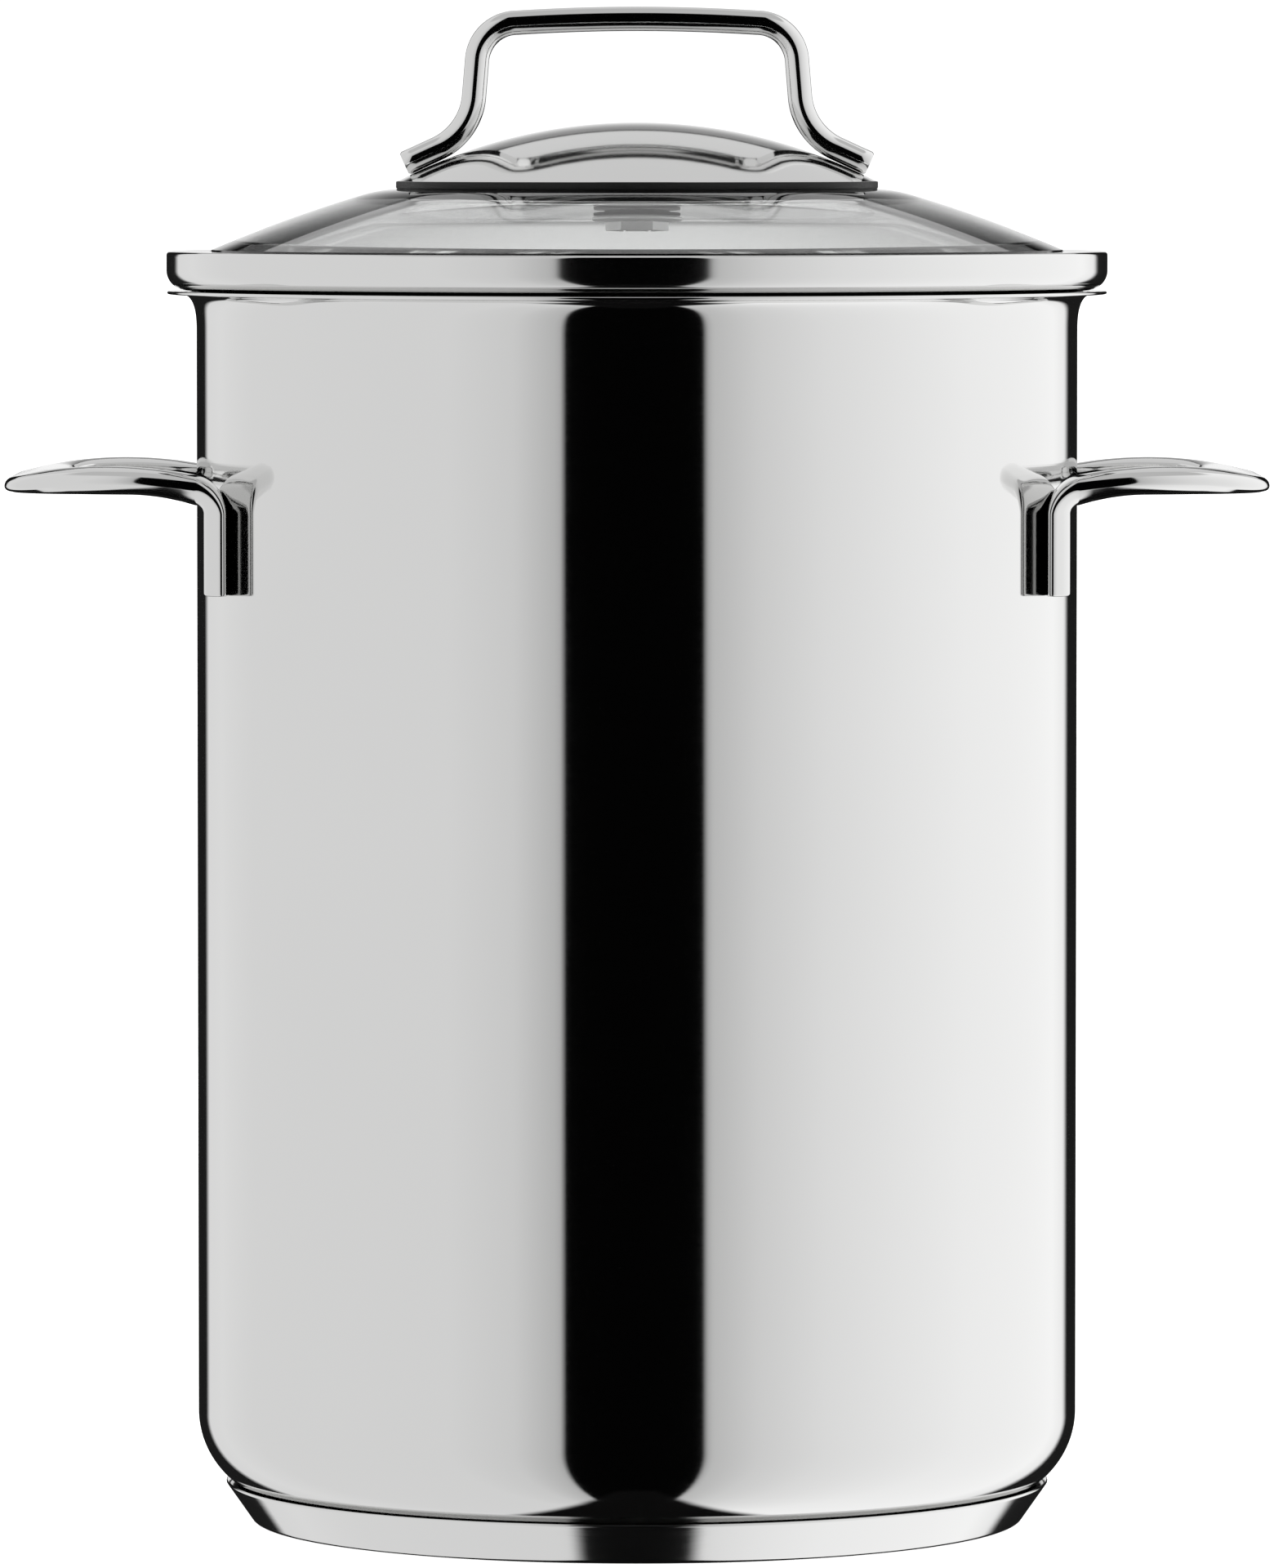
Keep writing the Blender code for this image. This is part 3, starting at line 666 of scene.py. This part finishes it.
def make_band(turned_steel):
    """The steel band round the glass: outside and curled under, then down as a skirt, and back up inside."""
    bottom = RIM_Z + 0.12
    curl = (BAND_RADIUS - BAND_CURL, bottom + BAND_CURL)
    skirt_bend = (SKIRT_RADIUS + SKIRT_BEND, bottom - SKIRT_BEND)
    outline = [(BAND_INNER, BAND_TOP_Z)]
    outline += arc(BAND_RADIUS - BAND_BEND, BAND_TOP_Z - BAND_BEND, BAND_BEND, 90, 0, 8)
    outline += arc(*curl, BAND_CURL, 0, -88, 20)
    outline += arc(*skirt_bend, SKIRT_BEND, 90, 180, 8)
    outline += [(SKIRT_RADIUS, SKIRT_FOOT_Z), (SKIRT_RADIUS - BAND_SHEET, SKIRT_FOOT_Z)]
    outline += arc(*skirt_bend, SKIRT_BEND + BAND_SHEET, 180, 90, 8)
    outline += arc(*curl, BAND_CURL - BAND_SHEET, -88, 0, 16)
    outline += [(BAND_RADIUS - BAND_SHEET, BAND_TOP_Z - BAND_BEND), (BAND_INNER, BAND_TOP_Z - BAND_SHEET)]
    mesh = lathe("lid_band_skin", outline, closed=True)
    add_piece("lid_band_skin", mesh, turned_steel, "lid", ["lid_rim_band"])


def make_cap(turned_steel, black):
    """The thin steel cap, and the black gasket whose lip wraps its edge."""
    sheet_edge = CAP_RADIUS - 0.3
    edge_z = cap_top(sheet_edge)
    outline = [(r, cap_top(r)) for r in [0.0] + spread(1.0, sheet_edge, 50)]
    outline += [(r, cap_top(r) - CAP_SHEET) for r in spread(sheet_edge, 1.0, 30)]
    outline += [(0.0, CAP_APEX_Z - CAP_SHEET)]
    mesh = lathe("lid_cap_dome", outline)
    add_piece("lid_cap_dome", mesh, turned_steel, "lid", ["lid_cap"])

    gap = 0.02
    inner = CAP_RADIUS - SEAL_WIDTH
    groove = sheet_edge + gap
    lip = CAP_RADIUS
    ring = [(inner, cap_top(inner) - CAP_SHEET - gap), (groove, edge_z - CAP_SHEET - gap), (groove, edge_z - gap)]
    ring += [(lip - 0.1, edge_z - 0.04), (lip, edge_z - 0.15)]
    ring += [(lip, GLASS_FLAT_Z + 0.25), (lip - 0.15, GLASS_FLAT_Z)]
    ring += [(GLASS_FLAT_RADIUS, GLASS_FLAT_Z + gap), (inner, GLASS_FLAT_Z + gap)]
    mesh = lathe("lid_cap_seal", ring, closed=True)
    add_piece("lid_cap_seal", mesh, black, "lid", ["lid_cap_gasket"])


BAR_THICKNESS = 4.4
BAR_DROOP = 0.7                 # the bar's ends lie this much below its middle
BAR_POST_X = 29.3
BAR_POST_SPREAD = 0.5           # the posts lean out by this much
BAR_CORNER = 7.3
BAR_FLARE = 11.7
BAR_FOOT_X = 42.6
BAR_REST_X = 40.0               # where a foot touches down on the cap
BAR_FOOT_SLOPE = 0.46
BAR_CLEARANCE = 0.05


def bar_path():
    """Centre line of the lid handle's right half as (x, z, direction in degrees)."""
    half = BAR_THICKNESS / 2
    dip = math.degrees(math.atan(BAR_FOOT_SLOPE))
    turn = 90 - dip
    rest_z = cap_top(BAR_REST_X) + BAR_CLEARANCE + half * math.hypot(1, BAR_FOOT_SLOPE)
    foot_z = rest_z - (BAR_FOOT_X - BAR_REST_X) * BAR_FOOT_SLOPE
    flare_x = BAR_POST_X + BAR_POST_SPREAD + BAR_FLARE
    flare_end_x = flare_x - BAR_FLARE * math.cos(math.radians(turn))
    flare_end_z = foot_z + (BAR_FOOT_X - flare_end_x) * BAR_FOOT_SLOPE
    flare_z = flare_end_z + BAR_FLARE * math.sin(math.radians(turn))
    bar_z = BAR_TOP_Z - half
    path = []
    corner_x = BAR_POST_X - BAR_CORNER
    for x in spread(0.0, corner_x, 20):
        droop = BAR_DROOP * (x / corner_x) ** 2
        path.append((x, bar_z - droop, -math.degrees(2 * BAR_DROOP * x / corner_x ** 2)))
    corner_z = bar_z - BAR_DROOP - BAR_CORNER
    post_lean = math.degrees(math.atan2(BAR_POST_SPREAD, corner_z - flare_z))
    angles = spread(88.2, post_lean, 24)
    corner = arc(corner_x, corner_z, BAR_CORNER, 88.2, post_lean, 24)
    path += [(x, z, angle - 90) for (x, z), angle in zip(corner, angles)]
    angles = spread(180 + post_lean, 180 + turn, 24)
    flare = arc(flare_x, flare_z, BAR_FLARE, 180 + post_lean, 180 + turn, 24)
    path += [(x, z, angle - 270) for (x, z), angle in zip(flare, angles)]
    for share in (0.3, 0.7, 0.94, 1.0):
        x = flare_end_x + (BAR_FOOT_X - flare_end_x) * share
        path.append((x, foot_z + (BAR_FOOT_X - x) * BAR_FOOT_SLOPE, -dip))
    return path


def rounded_bar(half_depth, half_thickness, inset):
    """Section of a flat bar with fully rounded edges, as (across, height)."""
    radius = half_thickness - inset
    flat = half_depth - half_thickness
    return arc(flat, 0.0, radius, -90, 90, 20) + arc(-flat, 0.0, radius, 90, 270, 20)


def make_lid_handle(bar_steel):
    """The flat bar bent into a loop, as one skin through sections along its centre line."""
    right = bar_path()
    left = [(-x, z, -direction) for x, z, direction in reversed(right[1:])]
    path = left + right
    sections = []
    for index, (x, z, direction) in enumerate(path):
        inset = 0.3 if index in (0, len(path) - 1) else 0.0
        turned = math.radians(direction)
        ring = []
        for across, height in rounded_bar(BAR_HALF_DEPTH, BAR_THICKNESS / 2, inset):
            ring.append((x - height * math.sin(turned), across, z + height * math.cos(turned)))
        sections.append(ring)
    mesh = loft("lid_loop_handle", sections)
    add_piece("lid_loop_handle", mesh, bar_steel, "lid", ["lid_handle"], 50)


def rounded_ring(node, bore, bevel):
    """Outline of a flat ring as high and wide as the CAD node, with its outer corners bevelled."""
    radius = high(node).x
    top = high(node).z
    foot = low(node).z
    outline = [(bore, top), (radius - bevel, top), (radius, top - bevel), (radius, foot + bevel)]
    return outline + [(radius - bevel, foot), (bore, foot)]


def make_lid_fixing(turned_steel, satin_steel, black):
    """The stud under the cap, its grommet, gasket and washer, and the seal in the rim band."""
    gap = 0.3
    stud_radius = 3.0
    bore = stud_radius + gap
    under_z = GLASS_FLAT_Z - GLASS_THICKNESS
    collar_z = GLASS_FLAT_Z + 1.6
    collar = 7.0
    under_cap = CAP_SHEET + gap
    middle_z = cap_top(2.0) - under_cap
    shoulder_z = cap_top(collar) - under_cap
    thread_z = under_z - 0.6
    thread_pitch = 0.8
    thread_depth = 0.3
    stud_foot = low("lid_stud").z

    stud = [(0.0, middle_z), (2.0, middle_z), (collar - 0.4, shoulder_z), (collar, shoulder_z - 0.4)]
    stud += [(collar, collar_z + 0.3), (collar - 0.3, collar_z), (stud_radius, collar_z)]
    for turn in range(int((thread_z - stud_foot) / thread_pitch)):
        z = thread_z - turn * thread_pitch
        stud += [(stud_radius, z), (stud_radius - thread_depth, z - thread_pitch / 2)]
    stud += [(stud_radius - 0.4, stud_foot), (0.0, stud_foot)]
    mesh = lathe("lid_stud_turned", stud, steps=64)
    add_piece("lid_stud_turned", mesh, turned_steel, "lid", ["lid_stud"], 30)

    brim = 9.0
    brim_z = collar_z - gap
    glass_z = GLASS_FLAT_Z + gap
    sleeve = GLASS_BORE - gap
    grommet = [(bore, brim_z), (brim - 0.3, brim_z), (brim, brim_z - 0.3), (brim, glass_z)]
    grommet += [(sleeve, glass_z), (sleeve, under_z), (bore, under_z)]
    pad = rounded_ring("lid_inner_gasket", bore, 0.1)
    washer = rounded_ring("lid_inner_washer", bore, 0.15)
    seal_inner = 80.4
    seal_outer = 83.6
    bevel = 0.2
    seal_low = low("lid_rim_seal").z
    seal_high = high("lid_rim_seal").z
    seal = [(seal_inner, seal_high), (seal_outer - bevel, seal_high), (seal_outer, seal_high - bevel)]
    seal += [(seal_outer, seal_low + bevel), (seal_outer - bevel, seal_low), (seal_inner, seal_low)]
    rings = (("lid_grommet_ring", grommet, black, "lid_grommet", "black_silicone"),
             ("lid_inner_pad", pad, black, "lid_inner_gasket", "black_silicone"),
             ("lid_washer_ring", washer, satin_steel, "lid_inner_washer", "polished_steel"),
             ("lid_rim_seal_ring", seal, black, "lid_rim_seal", "black_silicone"))
    for name, outline, material, node, slot in rings:
        add_piece(name, lathe(name, outline, closed=True, steps=128), material, "lid", [node], 30)


# ---------------------------------------------------------------- Basket

WIRE = 1.5                      # radius of the basket's wires and its bail
EYE_WIRE = 1.1
UPRIGHTS = 12
GRID_WIRES = 5                  # in each of the grid's two layers
UPRIGHT_RADIUS = 68.0
BAIL_RADIUS = 66.0
BAIL_BEND = 6.0


def rod(name, points, radius, cyclic=False, sides=20):
    """A round wire through points, with domed ends."""
    path = [Vector(point) for point in points]
    count = len(path)
    sections = []
    normal = None
    for index, place in enumerate(path):
        before = path[(index - 1) % count] if cyclic or index else place
        after = path[(index + 1) % count] if cyclic or index < count - 1 else place
        along = (after - before).normalized()
        if normal is None:
            normal = along.orthogonal().normalized()
        normal = (normal - along * normal.dot(along)).normalized()
        across = along.cross(normal)
        shifts = [(0.0, 1.0)]
        if not cyclic and index == 0:
            shifts = [(1 - math.cos(a), math.sin(a)) for a in spread(math.radians(12), math.radians(90), 5)]
        elif not cyclic and index == count - 1:
            shifts = [(-(1 - math.cos(a)), math.sin(a)) for a in spread(math.radians(90), math.radians(12), 5)]
        for shift, size in shifts:
            ring = []
            for side in range(sides):
                angle = 2 * math.pi * side / sides
                spoke = normal * math.cos(angle) + across * math.sin(angle)
                ring.append(place + along * shift * radius + spoke * radius * size)
            sections.append(ring)
    if cyclic:
        sections.append(sections[0])
    return loft(name, sections, closed_ends=not cyclic)


def make_basket(wire_steel):
    """The welded wire basket, each wire a smooth round rod on its CAD wire's line."""
    step = 2 * WIRE + 0.3
    outer = UPRIGHT_RADIUS + step
    rings = {"basket_top_hoop": outer, "basket_middle_hoop": outer, "basket_base_ring": UPRIGHT_RADIUS - step}
    wires = {}
    for node, radius in rings.items():
        z = (low(node).z + high(node).z) / 2
        wires[node] = ([(x, y, z) for x, y in arc(0, 0, radius, 0, 360, 160)[:-1]], WIRE, True)
    for index in range(UPRIGHTS):
        angle = 2 * math.pi * (index + 0.5) / UPRIGHTS
        node = f"basket_upright_{index + 1:02d}"
        x = UPRIGHT_RADIUS * math.cos(angle)
        y = UPRIGHT_RADIUS * math.sin(angle)
        wires[node] = ([(x, y, z) for z in spread(high(node).z, low(node).z, 4)], WIRE, False)
    for number in range(1, GRID_WIRES + 1):
        for layer, axis in (("lower", 0), ("upper", 1)):
            node = f"basket_grid_{layer}_{number}"
            middle = (low(node) + high(node)) / 2
            reach = (high(node) - low(node))[axis] / 2
            points = []
            for offset in spread(-reach, reach, 4):
                place = middle.copy()
                place[axis] += offset
                points.append(place)
            wires[node] = (points, WIRE, False)
    for side, sign in (("left", -1), ("right", 1)):
        node = f"basket_eye_{side}"
        middle = (low(node) + high(node)) / 2
        radius = (high(node) - low(node)).z / 2 - EYE_WIRE
        ring = [(sign * outer, y, z) for y, z in arc(0, middle.z, radius, 0, 360, 48)[:-1]]
        wires[node] = (ring, EYE_WIRE, True)
    for node, (points, radius, cyclic) in wires.items():
        name = node.replace("basket_", "basket_wire_")
        add_piece(name, rod(name, points, radius, cyclic), wire_steel, "basket", [node], 50)


def make_bail(wire_steel):
    """The basket's folding handle, lying flat towards +Y on the line of its two eyes."""
    end_x = high("basket_bail").x
    z = (low("basket_bail").z + high("basket_bail").z) / 2
    bend_x = BAIL_RADIUS - 1.0 + BAIL_BEND
    right = [(x, 0.0) for x in spread(end_x, bend_x, 3)]
    right += arc(bend_x, BAIL_BEND, BAIL_BEND, -90, -168, 12)[1:]
    right += arc(0.0, 0.0, BAIL_RADIUS, 9, 90, 48)
    left = [(-x, y) for x, y in reversed(right[:-1])]
    points = [(x, y, z) for x, y in right + left]
    mesh = rod("basket_bail_wire", points, WIRE)
    add_piece("basket_bail_wire", mesh, wire_steel, "bail", ["basket_bail"], 50)


# ---------------------------------------------------------------- Build

make_world()
make_floor()
wall_steel = steel("pot_steel", tone=0.80, roughness=0.045, grain="wall")
turned_steel = steel("turned_steel", tone=0.80, roughness=0.07, grain="turned")
satin_steel = steel("satin_steel", tone=0.92, roughness=0.42, grain="turned")
bar_steel = steel("bar_steel", tone=0.78, roughness=0.06, grain="bar")
wire_steel = steel("wire_steel", tone=0.74, roughness=0.16, grain="wall")
core_metal = steel("core_aluminium", tone=0.72, roughness=0.34, grain="turned")
clear = glass()
black = silicone()

make_pot(wall_steel)
make_capsule(turned_steel)
make_side_handles(bar_steel)
make_lid_glass(clear)
make_band(turned_steel)
make_cap(turned_steel, black)
make_lid_handle(bar_steel)
make_lid_fixing(turned_steel, satin_steel, black)
make_basket(wire_steel)
make_bail(wire_steel)

for node_name, material in (("base_core_disc", core_metal), ("lid_nut", satin_steel)):
    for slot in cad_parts[node_name].material_slots:
        slot.material = material
